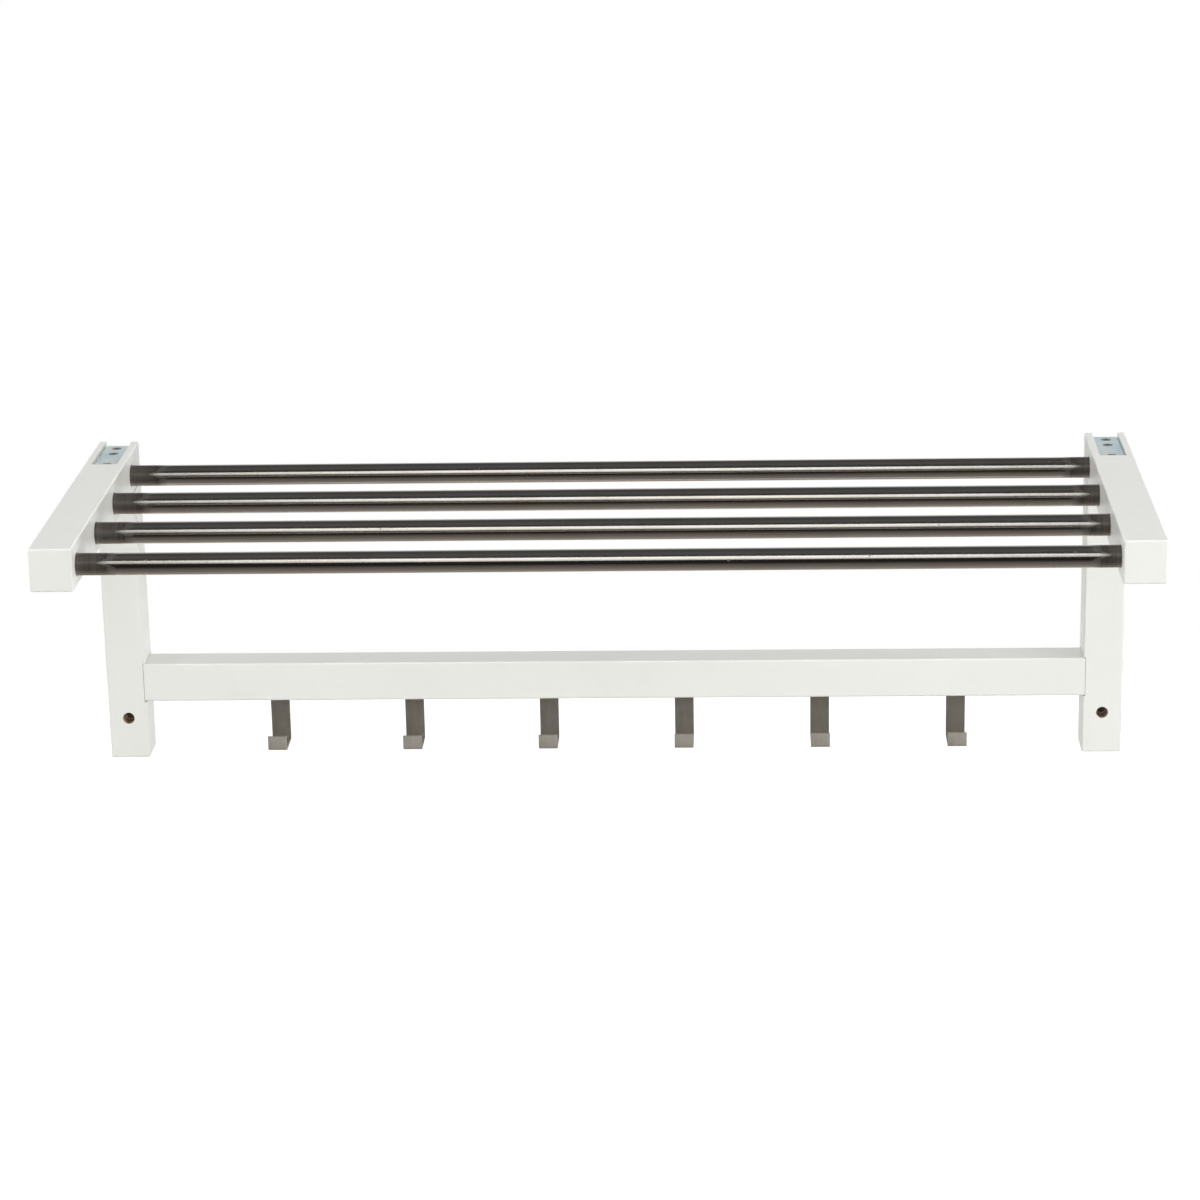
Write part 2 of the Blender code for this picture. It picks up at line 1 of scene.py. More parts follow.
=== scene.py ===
"""Wall hook rack: a hat shelf of four polished tubes between two painted timber arms on
posts, with a painted rail of six steel hooks between the posts.

Metres, +Z up. The wall is the plane Y = 0 and the rack reaches out from it along -Y.
"""
import math

import bmesh
import bpy
from bpy.props import FloatProperty, FloatVectorProperty, IntProperty, PointerProperty
from mathutils import Matrix, Vector


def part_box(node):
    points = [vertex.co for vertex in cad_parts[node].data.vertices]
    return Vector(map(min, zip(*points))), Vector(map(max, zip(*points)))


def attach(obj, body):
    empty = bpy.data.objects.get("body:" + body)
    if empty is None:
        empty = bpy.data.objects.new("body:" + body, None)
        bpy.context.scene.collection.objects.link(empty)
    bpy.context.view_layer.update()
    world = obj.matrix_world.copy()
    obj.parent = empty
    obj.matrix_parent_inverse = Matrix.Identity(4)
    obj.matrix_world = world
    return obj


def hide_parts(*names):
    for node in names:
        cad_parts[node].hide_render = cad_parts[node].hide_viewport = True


bl_info = {
    "name": "Wall Hook Rack",
    "version": (1, 0, 0),
    "blender": (4, 5, 0),
    "location": "View3D > Sidebar > Hook Rack",
    "description": "Builds a wall-mounted hat shelf with hooks, and its studio",
    "category": "Add Mesh",
}

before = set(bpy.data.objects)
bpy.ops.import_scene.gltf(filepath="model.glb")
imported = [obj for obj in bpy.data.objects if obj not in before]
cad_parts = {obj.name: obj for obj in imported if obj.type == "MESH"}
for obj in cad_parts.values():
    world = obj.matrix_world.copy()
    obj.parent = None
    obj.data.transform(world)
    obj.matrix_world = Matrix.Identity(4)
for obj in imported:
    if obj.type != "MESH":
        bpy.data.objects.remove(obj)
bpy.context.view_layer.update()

SIDES = (("left", -1), ("right", 1))
TUBES = (1, 2, 3, 4)
HOOKS = (1, 2, 3, 4, 5, 6)
OVER = 0.002                # how far a cutter stands out of the face it cuts
CLEAR = 0.0003              # round a piece that sits in a hole or a recess
WELD = 0.000001
FULL_TURN = 2 * math.pi
SHARP = math.radians(38)
SHANK_SHARE = 0.5           # a screw's shank, as a share of its head
THREAD_DEPTH = 0.28         # of a screw's thread, as a share of its shank
THREAD_STEPS = 8            # rings of points in one turn of a thread
SOCKET_MOUTH = 0.0003       # chamfer at the mouth of a tube's socket
BORE_MOUTH = 0.0002         # chamfer at the mouth of a counterbore
KEYHOLE_MARGIN = 0.0015     # timber cleared round a keyhole
KEYHOLE_POCKET = 0.008      # depth of the timber cleared for a wall screw's head
DOWEL_CHAMFER = 0.0008
FLUTES = 12                 # grooves along a dowel
FLUTE_DEPTH = 0.05          # of a groove, as a share of the dowel's radius

IN_PLACE = Matrix.Identity(4)
POINTING = {
    "+Z": IN_PLACE,
    "+Y": Matrix.Rotation(math.radians(-90), 4, "X"),
    "-Y": Matrix.Rotation(math.radians(90), 4, "X"),
    "+X": Matrix.Rotation(math.radians(90), 4, "Y"),
    "-X": Matrix.Rotation(math.radians(-90), 4, "Y"),
}


# Settings that a user may change

def length(name, description, default):
    return FloatProperty(name=name, description=description, default=default, min=0,
                         unit="LENGTH", subtype="DISTANCE", precision=5)


def colour(name, description, default):
    return FloatVectorProperty(name=name, description=description, default=default, min=0,
                               max=1, size=3, subtype="COLOR")


def light_power(name, description, default):
    return FloatProperty(name=name, description=description, default=default, min=0,
                         unit="POWER")


class RackSizes(bpy.types.PropertyGroup):
    eased_edge: length("Eased edge", "Radius on the edges of the timber", 0.0015)
    tube_wall: length("Tube wall", "Thickness of the shelf tubes", 0.001)
    strip: length("Strip", "Thickness of the hooks' and brackets' metal", 0.002)
    bend: length("Bend", "Radius inside the bends of hooks and brackets", 0.001)
    burr: length("Broken edge", "Bevel on the edges of hooks and brackets", 0.0002)
    side_room: length("Side room", "Between a bracket and its recess", 0.0006)
    lip: length("Hook lip", "Height of the turned-up front of a hook", 0.012)
    wall_hole: length("Wall hole", "Diameter of the holes for the wall screws", 0.006)
    counterbore: length("Counterbore", "Diameter for the wall screws' heads", 0.009)
    counterbore_depth: length("Counterbore depth", "Depth of the counterbores", 0.009)
    wall_hole_height: length("Wall hole height", "From the foot of a post", 0.033)
    keyhole_entry: length("Keyhole entry", "Diameter of the keyholes' round part", 0.010)
    keyhole_slot: length("Keyhole slot", "Width of the keyholes' slot", 0.005)
    keyhole_rise: length("Keyhole rise", "From the entry to the top of the slot", 0.012)
    keyhole_drop: length("Keyhole drop", "From the arm top to the entry", 0.057)
    thread_pitch: length("Thread pitch", "Distance between the screws' threads", 0.0013)
    round_steps: IntProperty(name="Round steps", default=96, min=12,
                             description="Segments round the shelf tubes")


class RackFinishes(bpy.types.PropertyGroup):
    paint: colour("Paint", "Satin paint of the timber", (0.80, 0.805, 0.768))
    worn_paint: colour("Worn paint", "Paint where it thins on the edges", (0.70, 0.69, 0.62))
    tube_steel: colour("Tube steel", "Polished steel of the shelf", (0.60, 0.575, 0.54))
    # Painted shade: the tubes are coloured dark brown near the arms, and paler below the
    # bright line as a painted reflection.
    tube_end: colour("Tube end", "Dull brown of the tubes near the arms",
                     (0.085, 0.075, 0.066))
    tube_end_pale: colour("Tube end underneath", "Paler brown under the tubes' ends",
                          (0.42, 0.36, 0.31))
    hook_steel: colour("Hook steel", "Brushed steel of the hooks", (0.62, 0.585, 0.53))
    plate: colour("Plate", "Plated steel of the brackets", (0.77, 0.88, 0.86))
    plate_bloom: colour("Plate bloom", "Bluer patches of the plating", (0.66, 0.82, 0.91))
    screw_steel: colour("Screw steel", "Steel of the screws", (0.32, 0.32, 0.31))
    bare_wood: colour("Bare wood", "Timber inside the holes", (0.64, 0.50, 0.41))
    beech: colour("Beech", "Wood of the dowels", (0.55, 0.36, 0.20))
    nylon: colour("Nylon", "Plastic of the tube plugs", (0.03, 0.03, 0.032))


class RackStudio(bpy.types.PropertyGroup):
    floor_drop: length("Floor drop", "From the arm tops to the floor", 2.2)
    softbox: FloatProperty(name="Softbox", default=1.75, min=0,
                           description="Glow of the panel that draws the tubes' bright line")
    low: light_power("Low front light", "Broad light from the front, below the rack", 24)
    top: light_power("Top light", "Broad light from above", 51)
    right: light_power("Right light", "Broad light from the right", 77)
    left: light_power("Left light", "Broad light from the left", 55)


# Node trees

def plug(tree, socket, value):
    """Links a reading to a socket, or sets the socket to a plain value."""
    if isinstance(value, Reading):
        tree.links.new(value.socket, socket)
    elif socket.type == "RGBA":
        socket.default_value = (*value, 1)
    else:
        socket.default_value = value


class Reading:
    """A value in a node tree. Arithmetic on it adds Math nodes to the tree."""

    def __init__(self, tree, socket):
        self.tree = tree
        self.socket = socket

    def math(self, operation, *values):
        node = self.tree.nodes.new("ShaderNodeMath")
        node.operation = operation
        for socket, value in zip(node.inputs, values):
            plug(self.tree, socket, value)
        return Reading(self.tree, node.outputs[0])

    def __add__(self, other):
        return self.math("ADD", self, other)

    def __sub__(self, other):
        return self.math("SUBTRACT", self, other)

    def __rsub__(self, other):
        return self.math("SUBTRACT", other, self)

    def __mul__(self, other):
        return self.math("MULTIPLY", self, other)

    def __truediv__(self, other):
        return self.math("DIVIDE", self, other)

    def __rtruediv__(self, other):
        return self.math("DIVIDE", other, self)

    def __abs__(self):
        return self.math("ABSOLUTE", self)

    __radd__ = __add__
    __rmul__ = __mul__

    def smaller(self, other):
        return self.math("MINIMUM", self, other)

    def larger(self, other):
        return self.math("MAXIMUM", self, other)

    def clamped(self):
        return self.larger(0.0).smaller(1.0)

    def past(self, start, end):
        """0 below start, 1 past end, and even between them."""
        return ((self - start) / (end - start)).clamped()


class Recipe:
    """Adds nodes to one tree."""

    def __init__(self, tree):
        self.tree = tree

    def add(self, kind, settings=None, values=None, output=0):
        """A node of a type, its settings first and then the values of its sockets."""
        node = self.tree.nodes.new(kind)
        for name, setting in (settings or {}).items():
            if name == "stops":
                set_stops(node.color_ramp, setting)
            else:
                setattr(node, name, setting)
        for name, value in (values or {}).items():
            plug(self.tree, open_socket(node.inputs, name), value)
        if output is None:
            return node
        return Reading(self.tree, open_socket(node.outputs, output))

    def colour(self, name):
        """A colour that the user may change."""
        return tuple(getattr(bpy.context.scene.rack_finishes, name))

    def position(self):
        return self.add("ShaderNodeTexCoord", output="Object")

    def parts(self, vector):
        node = self.add("ShaderNodeSeparateXYZ", values={"Vector": vector}, output=None)
        return [Reading(self.tree, socket) for socket in node.outputs]

    def noise(self, vector, scale, detail=2.0, roughness=0.5, stretch=None):
        """Noise that is longer along the axes whose stretch is below 1."""
        if stretch:
            vector = self.add("ShaderNodeVectorMath", {"operation": "MULTIPLY"},
                              {0: vector, 1: stretch})
        return self.add("ShaderNodeTexNoise", values={
            "Vector": vector, "Scale": scale, "Detail": detail, "Roughness": roughness})

    def toned(self, colour, value):
        return self.add("ShaderNodeHueSaturation", values={"Color": colour, "Value": value})

    def mixed(self, share, first, second):
        return self.add("ShaderNodeMix", {"data_type": "RGBA"},
                        {"Factor": share, "A": first, "B": second}, "Result")

    def bump(self, height, strength, distance):
        return self.add("ShaderNodeBump", values={
            "Height": height, "Strength": strength, "Distance": distance})


def open_socket(sockets, name):
    """The socket of a name or number that the node's settings have left in use."""
    if isinstance(name, int):
        return sockets[name]
    return next(socket for socket in sockets if socket.name == name and socket.enabled)


def set_stops(ramp, stops):
    """Puts a grey or coloured stop at each place along a ramp."""
    while len(ramp.elements) > 1:
        ramp.elements.remove(ramp.elements[-1])
    for number, (place, tone) in enumerate(stops):
        stop = ramp.elements.new(place) if number else ramp.elements[0]
        stop.position = place
        stop.color = (*tone, 1)


def finish(name, describe, *details):
    """The material of a name, made by describe the first time that it is asked for."""
    material = bpy.data.materials.get(name)
    if material:
        return material
    material = bpy.data.materials.new(name)
    material.use_nodes = True
    tree = material.node_tree
    shader = tree.nodes["Principled BSDF"]
    sockets = describe(Recipe(tree), *details)
    for socket, value in sockets.items():
        plug(tree, shader.inputs[socket], value)
    material.diffuse_color = (*shader.inputs["Base Color"].default_value[:3], 1)
    return material


# Finishes

EDGE_WEAR = 0.0022          # from the edges of the timber to where the paint is whole
GIRTH_LINES = 0.00005       # depth of the polishing lines round the tubes
LINE_RISE = 0.375           # of the bright line above the tubes' middle, by their radius
LINE_HALF_WIDTH = 0.003
SHADE_POINT_LENGTH = 2.5          # of the point in which the painted shade of the ends cuts off the bright line, by its half width
DULL_SHADE_STARTS = 0.018         # from the arms to where the ends' dullness and painted shade begin on that line
DULL_SHADE_WHOLE = 0.005          # from the arms to where the ends are wholly dull and shaded on it
DULL_SHADE_SHIFT = 0.004          # of the ends' dullness and painted shade to the right
PAINTED_REFLECTION_STARTS = 0.005         # from the bright line down to where the painted shade of the ends turns to their paler painted reflection
PAINTED_REFLECTION_WHOLE = 0.011
LIP_LIGHT_STARTS = 0.007       # from the front of a hook to where its painted light begins, which makes the lip paler than the shaded strap
LIP_LIGHT_WHOLE = 0.003


def shaded(tone, *shares):
    """A colour with its channels scaled, by one share for all or by one for each."""
    if len(shares) == 1:
        shares *= 3
    return tuple(channel * share for channel, share in zip(tone, shares))


def edge_nearness(recipe, position, low, high, reach):
    """1 on the edges of a block, or of its mirror image, and 0 at reach from them."""
    middle = (low + high) / 2
    half = (high - low) / 2
    x, y, z = recipe.parts(position)
    in_x = half.x - abs(abs(x) - abs(middle.x))
    in_y = half.y - abs(y - middle.y)
    in_z = half.z - abs(z - middle.z)
    second = in_x.smaller(in_y).larger(in_x.larger(in_y).smaller(in_z))
    return (1 - second / reach).clamped()


def satin_paint(recipe, low, high, along):
    """Sprayed satin paint over sanded timber, whose grain runs along one axis."""
    position = recipe.position()
    grain_stretch = tuple(0.06 if axis == along else 1.0 for axis in "XYZ")
    grain = recipe.noise(position, 420.0, 4.0, 0.6, stretch=grain_stretch)
    peel = recipe.noise(position, 900.0, 2.0)
    cloud = recipe.noise(position, 14.0, 3.0)
    smudge = recipe.noise(position, 46.0, 4.0, 0.62).past(0.56, 0.78)
    edge = edge_nearness(recipe, position, low, high, EDGE_WEAR)
    thin = (edge * recipe.noise(position, 160.0, 4.0, 0.7).past(0.38, 0.70)).clamped()
    speck = recipe.noise(position, 330.0, 1.0).past(0.79, 0.83)
    shade = 0.965 + cloud * 0.05 + grain * 0.02 - smudge * 0.022 - speck * 0.12
    base = recipe.mixed(thin * 0.38, recipe.colour("paint"), recipe.colour("worn_paint"))
    toned = recipe.toned(base, shade)
    height = grain * 0.45 + peel * 0.35 + cloud * 0.4 - speck * 0.6
    return {
        "Base Color": toned,
        "Roughness": 0.40 + smudge * 0.10 + peel * 0.06 + edge * 0.12,
        "Normal": recipe.bump(height, 0.32, 0.00010),
        "Coat Weight": 0.12,
        "Coat Roughness": 0.22,
        "Specular IOR Level": 0.42,
    }


def bare_timber(recipe):
    """Drilled wood, with end grain and torn fibres."""
    position = recipe.position()
    fibres = recipe.noise(position, 900.0, 5.0, 0.7, stretch=(1.0, 0.25, 1.0))
    rings = recipe.noise(position, 260.0, 3.0, stretch=(1.0, 0.4, 1.0))
    wood = recipe.colour("bare_wood")
    share = (fibres * 0.7 + rings * 0.6 - 0.2).clamped()
    return {
        "Base Color": recipe.mixed(share, shaded(wood, 0.42), wood),
        "Roughness": 0.72 + fibres * 0.2,
        "Normal": recipe.bump(fibres, 0.8, 0.00025),
        "Specular IOR Level": 0.25,
    }


def polished_tube(recipe, arm_face, line_height):
    """Tube polished round its girth, which blurs what it shows along its length, with
    fine drawn lines, faint smears and a few specks. Near the arms it is less metallic and
    rougher, and painted shade darkens it to brown there, with a paler painted reflection
    underneath; the painted shade cuts its bright line off in a point."""
    position = recipe.position()
    girth = recipe.noise(position, 4200.0, 3.0, 0.65, stretch=(1.0, 0.04, 0.04))
    drawn = recipe.noise(position, 2400.0, 3.0, 0.6, stretch=(0.012, 1.0, 1.0))
    bands = recipe.noise(position, 420.0, 2.0, stretch=(0.05, 1.0, 1.0))
    smear = recipe.noise(position, 60.0, 4.0, 0.6, stretch=(0.5, 1.0, 1.0))
    speck = recipe.noise(position, 210.0, 1.5).past(0.735, 0.775)
    x, _, z = recipe.parts(position)
    # Painted shade: a mask near the arms that reaches further from the bright line's middle,
    # so that it cuts the line off in a point.
    off_line = abs(z - line_height).smaller(LINE_HALF_WIDTH)
    along = abs(x - DULL_SHADE_SHIFT) + off_line * SHADE_POINT_LENGTH
    dull = along.past(arm_face - DULL_SHADE_STARTS, arm_face - DULL_SHADE_WHOLE)
    rings = recipe.noise(position, 1100.0, 2.0, 0.6, stretch=(1.0, 0.02, 0.02))
    steel = recipe.colour("tube_steel")
    stain = shaded(steel, 0.80, 0.76, 0.71)
    base = recipe.mixed((smear.past(0.42, 0.72) * 0.45 + speck * 0.7).clamped(), steel, stain)
    toned = recipe.toned(base, 0.91 + drawn * 0.10 + bands * 0.04 + girth * 0.04)
    # Painted reflection: the shaded ends turn paler below the bright line.
    painted_reflection_share = z.past(line_height - PAINTED_REFLECTION_STARTS, line_height - PAINTED_REFLECTION_WHOLE)
    pale = (rings * 0.4 + painted_reflection_share * 0.8 - 0.15).clamped()
    brown = recipe.mixed(pale, recipe.colour("tube_end"), recipe.colour("tube_end_pale"))
    height = girth + drawn * 0.06 + bands * 0.05 - speck * 0.1
    return {
        # dull puts the brown painted shade on the ends, and makes them less metallic and
        # rougher.
        "Base Color": recipe.mixed((dull * 1.6).clamped(), toned, brown),
        "Metallic": 1.0 - dull * 0.5,
        "Roughness": 0.10 + drawn * 0.04 + smear * 0.05 + speck * 0.25 + dull * 0.2,
        "Normal": recipe.bump(height, 1.0, GIRTH_LINES),
    }


def brushed_strip(recipe, front):
    """Steel strip, brushed along its length. Its front is less metallic, and so paler:
    painted light that stands in for the rail's shade on the strap behind it.
    """
    position = recipe.position()
    brush = recipe.noise(position, 3200.0, 3.0, 0.6, stretch=(1.0, 0.03, 0.03))
    lines = recipe.noise(position, 900.0, 2.0, stretch=(1.0, 0.05, 0.05))
    blotch = recipe.noise(position, 150.0, 4.0, 0.6)
    steel = recipe.colour("hook_steel")
    dull = shaded(steel, 0.62, 0.60, 0.56)
    share = (brush * 0.5 + lines * 0.5 + blotch * 0.6 - 0.35).clamped()
    _, y, _ = recipe.parts(position)
    # Painted light: the lip at the front is made less metallic, and so paler, than the strap,
    # which stands in the rail's shade.
    lip_light = y.past(front + LIP_LIGHT_STARTS, front + LIP_LIGHT_WHOLE)
    return {
        "Base Color": recipe.mixed(share, dull, steel),
        "Metallic": 0.85 - lip_light * 0.28,
        "Roughness": 0.44 + brush * 0.10 + blotch * 0.10,
        "Normal": recipe.bump(brush * 0.6 + lines * 0.4, 0.22, 0.00008),
    }


def plated_steel(recipe):
    """Pale zinc plating with a blue bloom."""
    position = recipe.position()
    bloom = recipe.noise(position, 55.0, 2.0, 0.4).past(0.44, 0.62)
    fine = recipe.noise(position, 1300.0, 3.0)
    mark = recipe.noise(position, 700.0, 2.0, stretch=(1.0, 0.15, 1.0))
    base = recipe.mixed(bloom * 0.9, recipe.colour("plate"), recipe.colour("plate_bloom"))
    toned = recipe.toned(base, 0.90 + fine * 0.10 + mark * 0.08)
    return {
        "Base Color": toned,
        "Metallic": 0.58,
        "Roughness": 0.34 + fine * 0.12 + mark * 0.06,
        "Normal": recipe.bump(fine * 0.6 + mark * 0.5, 0.20, 0.00006),
    }


def screw_metal(recipe):
    """Dull steel with scuffed edges."""
    position = recipe.position()
    scuff = recipe.noise(position, 1500.0, 3.0, 0.6)
    cloud = recipe.noise(position, 400.0, 2.0)
    steel = recipe.colour("screw_steel")
    share = (scuff * 0.8 + cloud * 0.5 - 0.2).clamped()
    return {
        "Base Color": recipe.mixed(share, shaded(steel, 0.5), steel),
        "Metallic": 1.0,
        "Roughness": 0.28 + scuff * 0.14,
        "Normal": recipe.bump(scuff, 0.18, 0.00005),
    }


def beech_wood(recipe):
    """Turned beech, with short dark flecks."""
    position = recipe.position()
    fibre = recipe.noise(position, 900.0, 4.0, 0.6, stretch=(1.0, 1.0, 0.2))
    fleck = recipe.noise(position, 1500.0, 1.0, stretch=(1.0, 1.0, 0.3))
    wood = recipe.colour("beech")
    share = (fibre * 0.6 + fleck.past(0.62, 0.70) * 0.5).clamped()
    return {
        "Base Color": recipe.mixed(share, wood, shaded(wood, 0.6)),
        "Roughness": 0.62 + fibre * 0.2,
        "Normal": recipe.bump(fibre, 0.4, 0.0001),
    }


def moulded_nylon(recipe):
    """Black plastic with a fine spark-eroded grain."""
    grain = recipe.noise(recipe.position(), 2200.0, 3.0)
    nylon = recipe.colour("nylon")
    return {
        "Base Color": recipe.mixed(grain.past(0.35, 0.75), nylon, shaded(nylon, 2.2)),
        "Roughness": 0.45 + grain * 0.2,
        "Normal": recipe.bump(grain, 0.3, 0.00005),
    }


# Shapes

def facing(direction, point):
    """Turns +Z towards a direction and moves the origin to a point."""
    return Matrix.Translation(point) @ POINTING[direction]


def outward(side):
    return "+X" if side > 0 else "-X"


def inward(side):
    return outward(-side)


def tidied(bm):
    """Merges doubled points and turns the faces outwards."""
    bmesh.ops.remove_doubles(bm, verts=bm.verts, dist=WELD)
    bmesh.ops.recalc_face_normals(bm, faces=bm.faces)
    return bm


def mesh_from(bm, name):
    mesh = bpy.data.meshes.new(name)
    bm.to_mesh(mesh)
    bm.free()
    return mesh


def linked(name, data):
    """A new object in the scene."""
    obj = bpy.data.objects.new(name, data)
    bpy.context.scene.collection.objects.link(obj)
    return obj


def gather(name, shapes, material=None):
    """One object out of several (mesh, place) shapes."""
    bm = bmesh.new()
    for mesh, place in shapes:
        start = len(bm.verts)
        bm.from_mesh(mesh)
        bm.verts.ensure_lookup_table()
        bmesh.ops.transform(bm, matrix=place, verts=bm.verts[start:])
    obj = linked(name, mesh_from(bm, name))
    if material:
        obj.data.materials.clear()
        obj.data.materials.append(material)
    return obj


def block(low, high, rounding=0.0, rounded=None):
    """A box between two corners. rounded(edge) picks the edges that are eased."""
    bm = bmesh.new()
    bmesh.ops.create_cube(bm, size=1)
    bmesh.ops.scale(bm, vec=high - low, verts=bm.verts)
    bmesh.ops.translate(bm, vec=(low + high) / 2, verts=bm.verts)
    if rounding:
        edges = [edge for edge in bm.edges if rounded is None or rounded(edge)]
        bmesh.ops.bevel(bm, geom=edges, offset=rounding, segments=4, profile=0.5,
                        affect="EDGES", material=-1)
    return mesh_from(tidied(bm), "block")


def turned(profile, steps, ring=False):
    """A profile of (radius, height) points spun about +Z. A ring joins its two ends."""
    bm = bmesh.new()
    verts = [bm.verts.new((radius, 0, height)) for radius, height in profile]
    pairs = list(zip(verts, verts[1:]))
    if ring:
        pairs.append((verts[-1], verts[0]))
    edges = [bm.edges.new(pair) for pair in pairs]
    bmesh.ops.spin(bm, geom=verts + edges, cent=(0, 0, 0), axis=(0, 0, 1), dvec=(0, 0, 0),
                   angle=FULL_TURN, steps=steps, use_merge=True, use_duplicate=False)
    return mesh_from(tidied(bm), "turned")


def hole(radius, depth, steps=32, chamfer=0.0):
    """A cutter that enters at the origin and runs down -Z, with its mouth broken."""
    return turned([(0, OVER), (radius + chamfer, OVER), (radius + chamfer, 0),
                   (radius, -chamfer), (radius, -depth), (0, -depth)], steps)


def screw_seat_hole(head, shank, depth):
    """A cutter for a countersunk screw whose head is level with the origin."""
    mouth = head + CLEAR
    pilot = shank + CLEAR
    return turned([(0, OVER), (mouth, OVER), (mouth, -CLEAR), (pilot, pilot - mouth - CLEAR),
                   (pilot, -depth), (0, -depth)], 32)


def settle(obj):
    """Keeps the shape that an object's modifiers give as its own mesh."""
    graph = bpy.context.evaluated_depsgraph_get()
    obj.data = bpy.data.meshes.new_from_object(obj.evaluated_get(graph))
    obj.modifiers.clear()
    return obj


def carve(obj, cutters):
    """Cuts shapes out of a piece. The cut faces take the cutter's finish."""
    for cutter in cutters:
        hollow = obj.modifiers.new(cutter.name, "BOOLEAN")
        hollow.operation = "DIFFERENCE"
        hollow.solver = "EXACT"
        hollow.material_mode = "TRANSFER"
        hollow.object = cutter
    settle(obj)
    for cutter in cutters:
        bpy.data.objects.remove(cutter, do_unlink=True)
    return obj


def smoothed(obj, weighted=False):
    """Smooth shading that breaks at sharp edges; weighted keeps broad faces flat."""
    obj.data.shade_smooth()
    obj.data.set_sharp_from_angle(angle=SHARP)
    if weighted:
        even = obj.modifiers.new("even_faces", "WEIGHTED_NORMAL")
        even.keep_sharp = True
        even.weight = 80
    return obj


def install(obj, node):
    """Names a finished piece, sets it on the frame and hides the plain solid."""
    obj.name = "finished_" + node
    obj.data.name = obj.name
    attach(obj, "root")
    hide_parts(node)
    return obj


def middle(node):
    low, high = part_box(node)
    return (low + high) / 2


def runs_along(edge, axis):
    direction = (edge.verts[1].co - edge.verts[0].co).normalized()
    return abs(direction[axis]) > 1 - WELD


def bent_strip(name, low_x, high_x, corners, sizes, material):
    """Sheet metal bent at the corners of a line in YZ, between two X values."""
    radius = sizes.bend + sizes.strip / 2
    bm = bmesh.new()
    verts = [bm.verts.new((x, *corners[0])) for x in (low_x, high_x)]
    rim = [bm.edges.new(verts)]
    here = Vector((0, *corners[0]))
    for corner, after in zip(corners[1:], corners[2:] + [None]):
        corner = Vector((0, *corner))
        onward = (corner - here).normalized()
        trim = radius if after else 0
        target = corner - onward * trim
        rim = drawn_out(bm, rim, target - here)
        here = target
        if after:
            turn = (Vector((0, *after)) - corner).normalized()
            centre = here + turn * radius
            axis = onward.cross(turn)
            spun = bmesh.ops.spin(bm, geom=rim + end_points(rim), cent=centre, axis=axis,
                                  dvec=(0, 0, 0), angle=math.radians(90), steps=6,
                                  use_merge=False, use_duplicate=False)
            rim = [item for item in spun["geom_last"] if isinstance(item, bmesh.types.BMEdge)]
            here = corner + turn * radius
    strip = gather(name, [(mesh_from(tidied(bm), name), IN_PLACE)], material)
    metal = strip.modifiers.new("sheet", "SOLIDIFY")
    metal.thickness = sizes.strip
    metal.offset = 0
    metal.use_even_offset = True
    broken = strip.modifiers.new("broken_edges", "BEVEL")
    broken.width = sizes.burr
    broken.segments = 2
    broken.limit_method = "ANGLE"
    broken.angle_limit = math.radians(60)
    return settle(strip)


def end_points(edges):
    return list({vert for edge in edges for vert in edge.verts})


def drawn_out(bm, rim, step):
    """Extrudes a rim by a step and returns its new edges."""
    made = bmesh.ops.extrude_edge_only(bm, edges=rim)["geom"]
    moved = [item for item in made if isinstance(item, bmesh.types.BMVert)]
    bmesh.ops.translate(bm, vec=step, verts=moved)
    return [item for item in made if isinstance(item, bmesh.types.BMEdge)
            and all(vert in moved for vert in item.verts)]


def bracket_box(name):
    """The corners of the room that a bracket takes, with its clearance."""
    low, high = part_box(f"corner_bracket_{name}")
    side_room = bpy.context.scene.rack_sizes.side_room
    return low - Vector((side_room, CLEAR, CLEAR)), high + Vector((side_room, 0, 0))


def bracket_recess(name, material):
    """The two cutters of the recess behind and under a bracket."""
    strip = bpy.context.scene.rack_sizes.strip
    low, high = bracket_box(name)
    top = block(Vector((low.x, low.y, high.z - strip - CLEAR)), Vector((high.x, OVER, OVER)))
    rear = block(Vector((low.x, high.y - strip - CLEAR, low.z)), Vector((high.x, OVER, OVER)))
    return [gather(f"recess_{part}_{name}", [(mesh, IN_PLACE)], material)
            for part, mesh in (("top", top), ("rear", rear))]


SCREW_DIRECTIONS = {
    "tube_screw_left": "-X", "tube_screw_right": "+X", "bracket_screw": "+Z", "rear": "+Y",
    "hook_screw": "+Y",
}


def screw_direction(node):
    """Where a screw's head faces."""
    if node.endswith("_rear"):
        return SCREW_DIRECTIONS["rear"]
    return next(way for start, way in SCREW_DIRECTIONS.items() if node.startswith(start))


def screw_facts(node):
    """A screw's place (its head's top, at the origin, facing +Z), head radius and length."""
    low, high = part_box(node)
    direction = screw_direction(node)
    axis = "XYZ".index(direction[1])
    centre = (low + high) / 2
    centre[axis] = high[axis] if direction[0] == "+" else low[axis]
    span = high - low
    head = max(span[other] for other in range(3) if other != axis) / 2
    return facing(direction, centre), head, span[axis]


def screw_holes(name, nodes, seated, material):
    """Cutters for the holes of several screws, with or without a seat for the head."""
    shapes = []
    for node in nodes:
        place, head, depth = screw_facts(node)
        shank = SHANK_SHARE * head
        if seated:
            shapes.append((screw_seat_hole(head, shank, depth + CLEAR), place))
        else:
            shapes.append((hole(shank + CLEAR, depth + CLEAR, 24), place))
    return gather(name, shapes, material)


def dowel_facts(node):
    """A dowel's place (its higher end, at the origin, facing +Z), radius and length."""
    low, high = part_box(node)
    span = high - low
    axis = max(range(3), key=lambda number: span[number])
    end = (low + high) / 2
    end[axis] = high[axis]
    return facing("+" + "XYZ"[axis], end), min(span) / 2, span[axis]


